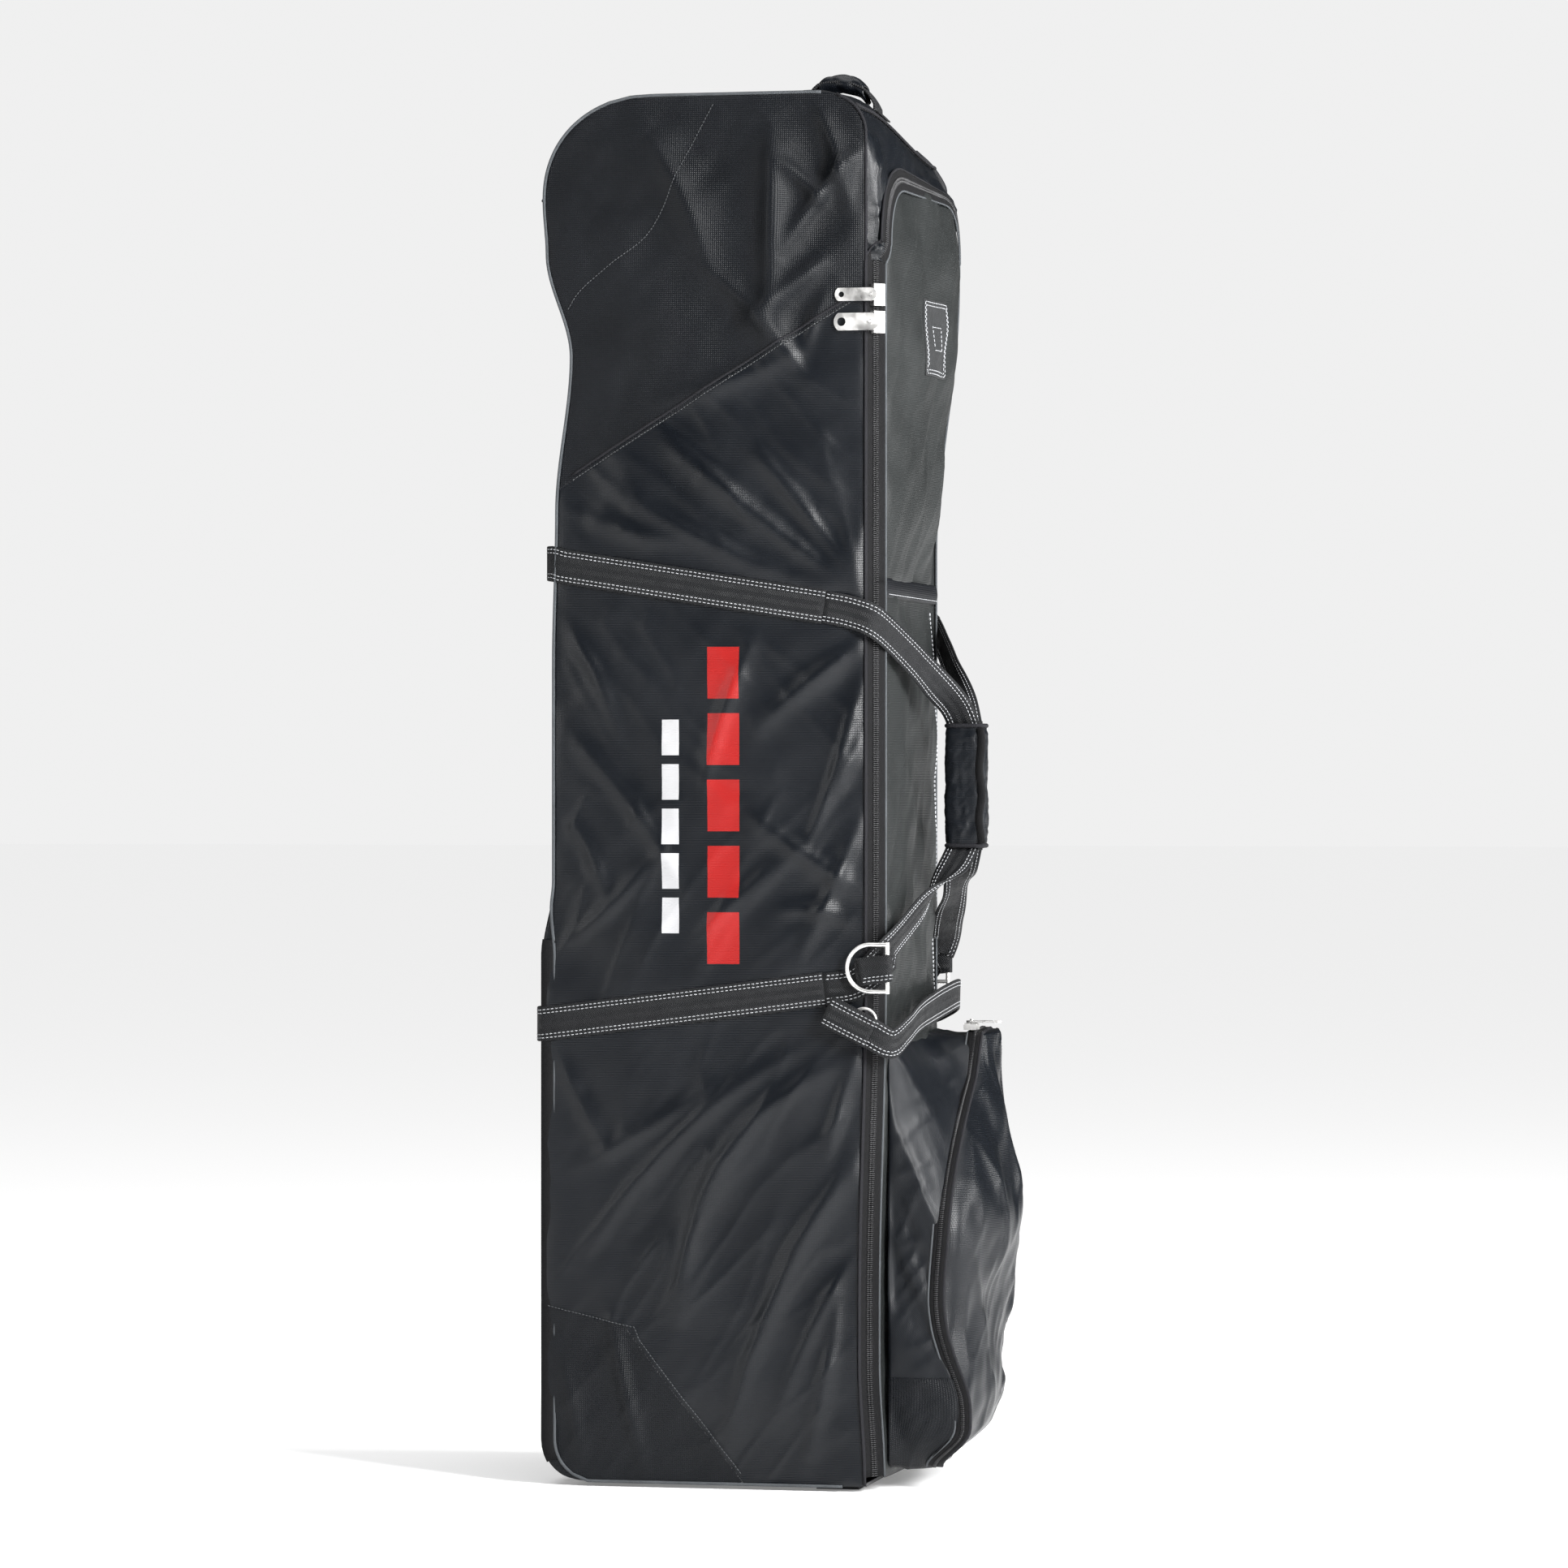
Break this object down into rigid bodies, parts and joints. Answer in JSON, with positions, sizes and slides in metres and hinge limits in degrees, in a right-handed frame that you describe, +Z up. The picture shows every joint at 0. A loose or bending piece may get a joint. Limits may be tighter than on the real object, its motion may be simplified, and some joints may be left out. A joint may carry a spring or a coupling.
{
  "type": "golf travel case",
  "caption": "Soft wheeled travel cover for a golf bag, with a folding zipped lid, shoe pocket, padded carry grip, grab handle, rings and a stiff rolling base.",
  "frame": {"origin": "on the floor, in the middle of the footprint of the case and its pocket", "axes": "+Z up along the case, +X towards the lid and the shoe pocket, -Y towards the near side with the slider pulls"},
  "size_m": [0.41, 0.311, 1.304],
  "materials": {
    "shell_fabric": "glossy coated polyester, ribbed weave",
    "heavy_fabric": "matte heavy polyester",
    "webbing": "matte black webbing with pale stitching",
    "zip_tape": "zip tape and coil",
    "piping": "grey binding",
    "badge": "plain pale woven patch",
    "foam": "foam pad in lining fabric",
    "board": "polyethylene board",
    "moulding": "moulded base",
    "wheel_tyre": "solid polyurethane tyre",
    "wheel_hub": "moulded hub",
    "rubber_foot": "rubber",
    "steel": "steel",
    "silver": "bright nickel plate"
  },
  "bodies": {
    "case": {"axle_far": "steel", "axle_near": "steel", "back_board": "board", "base_board": "board", "base_panel": "heavy_fabric", "buckle_sockets": "moulding", "edge_piping": "piping", "front_feet": "rubber_foot", "handle_web_far": "webbing", "handle_web_near": "webbing", "head_front_panel": "shell_fabric", "head_pad_sides": "foam", "head_pad_top": "foam", "head_yokes": "heavy_fabric", "heel_patches": "heavy_fabric", "inner_straps": "webbing", "lower_lid_panel": "shell_fabric", "lower_webbing": "webbing", "main_zip_tape": "zip_tape", "pocket_gusset_bottom": "shell_fabric", "pocket_gusset_far": "shell_fabric", "pocket_gusset_near": "shell_fabric", "pocket_gusset_top": "shell_fabric", "ring_tabs": "webbing", "side_panel_far": "shell_fabric", "side_panel_near": "shell_fabric", "skid_base": "moulding", "skid_rails": "moulding", "skid_rivets": "steel", "top_handle_feet": "webbing", "top_panel": "shell_fabric", "upper_back_panel": "shell_fabric", "upper_webbing": "webbing", "wheel_housing_far": "moulding", "wheel_housing_near": "moulding"},
    "wheel_near": {"tyre_near": "wheel_tyre", "hub_near": "wheel_hub", "bearings_near": "steel"},
    "wheel_far": {"tyre_far": "wheel_tyre", "hub_far": "wheel_hub", "bearings_far": "steel"},
    "lid_flap": {"lid_flap_panel": "shell_fabric", "lid_zip_tape": "zip_tape", "lid_badge": "badge"},
    "zip_slider_lower": {"slider_lower": "silver"},
    "zip_pull_lower": {"pull_lower": "silver"},
    "zip_slider_upper": {"slider_upper": "silver"},
    "zip_pull_upper": {"pull_upper": "silver"},
    "pocket_front": {"pocket_panel": "shell_fabric"},
    "pocket_zip_slider": {"pocket_slider": "silver"},
    "pocket_zip_pull": {"pocket_pull": "silver"},
    "carry_grip": {"grip_wrap": "shell_fabric", "grip_webs": "webbing"},
    "ring_near": {"d_ring_near": "silver"},
    "ring_far": {"d_ring_far": "silver"},
    "strap": {"front_strap": "webbing", "strap_rings": "silver"},
    "grab_handle": {"top_handle": "webbing"},
    "buckle_lower": {"buckle_plug_lower": "moulding"},
    "buckle_upper": {"buckle_plug_upper": "moulding"}
  },
  "joints": [
    {"name": "wheel_near_spin", "type": "hinge", "parent": "case", "child": "wheel_near", "pos_m": [-0.16135, -0.095, 0.042], "axis": [0, 1, 0], "continuous": true},
    {"name": "wheel_far_spin", "type": "hinge", "parent": "case", "child": "wheel_far", "pos_m": [-0.16135, 0.095, 0.042], "axis": [0, 1, 0], "continuous": true},
    {"name": "lid_fold", "type": "hinge", "parent": "case", "child": "lid_flap", "pos_m": [0.12095, 0, 0.83], "axis": [0, 1, 0], "range_deg": [0, 125]},
    {"name": "slider_lower_run", "type": "slide", "parent": "case", "child": "zip_slider_lower", "axis": [0, 0, 1], "range_m": [-0.16, 0]},
    {"name": "pull_lower_swing", "type": "hinge", "parent": "zip_slider_lower", "child": "zip_pull_lower", "pos_m": [0.11215, -0.1445, 1.073], "axis": [0, 1, 0], "range_deg": [-90, 0]},
    {"name": "slider_upper_run", "type": "slide", "parent": "case", "child": "zip_slider_upper", "axis": [0, 0, 1], "range_m": [0, 0.02]},
    {"name": "pull_upper_swing", "type": "hinge", "parent": "zip_slider_upper", "child": "zip_pull_upper", "pos_m": [0.11215, -0.1445, 1.098], "axis": [0, 1, 0], "range_deg": [0, 90]},
    {"name": "pocket_open", "type": "hinge", "parent": "case", "child": "pocket_front", "pos_m": [0.17495, 0, 0.02], "axis": [0, 1, 0], "range_deg": [0, 45]},
    {"name": "pocket_slider_run", "type": "slide", "parent": "case", "child": "pocket_zip_slider", "axis": [0, 1, 0], "range_m": [0, 0.04]},
    {"name": "pocket_pull_swing", "type": "hinge", "parent": "pocket_zip_slider", "child": "pocket_zip_pull", "pos_m": [0.16865, 0.06, 0.425], "axis": [0, 0, 1], "range_deg": [-80, 80]},
    {"name": "grip_lift", "type": "slide", "parent": "case", "child": "carry_grip", "axis": [1, 0, 0], "range_m": [-0.01, 0.02]},
    {"name": "ring_near_swing", "type": "hinge", "parent": "case", "child": "ring_near", "pos_m": [0.12865, -0.151, 0.481], "axis": [0, 0, 1], "range_deg": [0, 150]},
    {"name": "ring_far_swing", "type": "hinge", "parent": "case", "child": "ring_far", "pos_m": [0.12865, 0.151, 0.481], "axis": [0, 0, -1], "range_deg": [0, 150]},
    {"name": "strap_lift", "type": "hinge", "parent": "case", "child": "strap", "pos_m": [0.10665, 0, 0.433], "axis": [0, -1, 0], "range_deg": [0, 18]},
    {"name": "grab_handle_swing", "type": "hinge", "parent": "case", "child": "grab_handle", "pos_m": [0.04965, 0, 1.294], "axis": [1, 0, 0], "range_deg": [-45, 45]},
    {"name": "buckle_lower_release", "type": "slide", "parent": "case", "child": "buckle_lower", "axis": [0, 1, 0], "range_m": [0, 0.022]},
    {"name": "buckle_upper_release", "type": "slide", "parent": "case", "child": "buckle_upper", "axis": [0, 1, 0], "range_m": [0, 0.022]}
  ]
}
